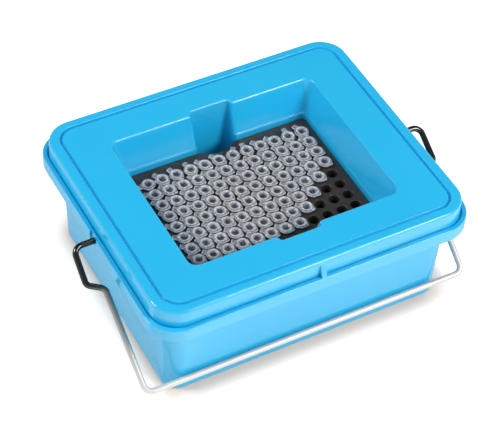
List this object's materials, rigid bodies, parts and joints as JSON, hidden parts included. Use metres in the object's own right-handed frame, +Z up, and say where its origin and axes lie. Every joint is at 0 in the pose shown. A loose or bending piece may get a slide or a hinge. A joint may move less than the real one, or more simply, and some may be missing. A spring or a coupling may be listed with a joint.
{
  "type": "benchtop cooler for reaction tubes",
  "caption": "Gel-filled plastic cooler box with a sunken black well plate holding small capped reaction tubes, finger notches and a bent-wire carrying handle.",
  "frame": {"origin": "centre of the underside, on the bench", "axes": "+X along the rows of twelve wells to the right, +Y to the back, away from the resting handle bar, +Z up"},
  "size_m": [0.2236, 0.1624, 0.074],
  "materials": {
    "blue_shell": "smooth glossy moulded plastic",
    "coolant_gel": "wet translucent gel",
    "dark_plate": "satin moulded plastic",
    "clear_tube": "frosty translucent plastic",
    "steel_wire": "bright polished wire"
  },
  "bodies": {
    "cooler": {"base_tub": "blue_shell", "coolant_gel": "coolant_gel", "top_cover": "blue_shell", "well_plate": "dark_plate", "tubes_row_a": "clear_tube", "tubes_row_b": "clear_tube", "tubes_row_c": "clear_tube", "tubes_row_d": "clear_tube", "tubes_row_e": "clear_tube", "tubes_row_f": "clear_tube", "tubes_row_g": "clear_tube", "tubes_row_h": "clear_tube"},
    "handle": {"handle": "steel_wire"}
  },
  "joints": [
    {"name": "handle_swing", "type": "hinge", "parent": "cooler", "child": "handle", "pos_m": [0, 0, 0.05975], "axis": [-1, 0, 0], "range_deg": [0, 248]}
  ]
}
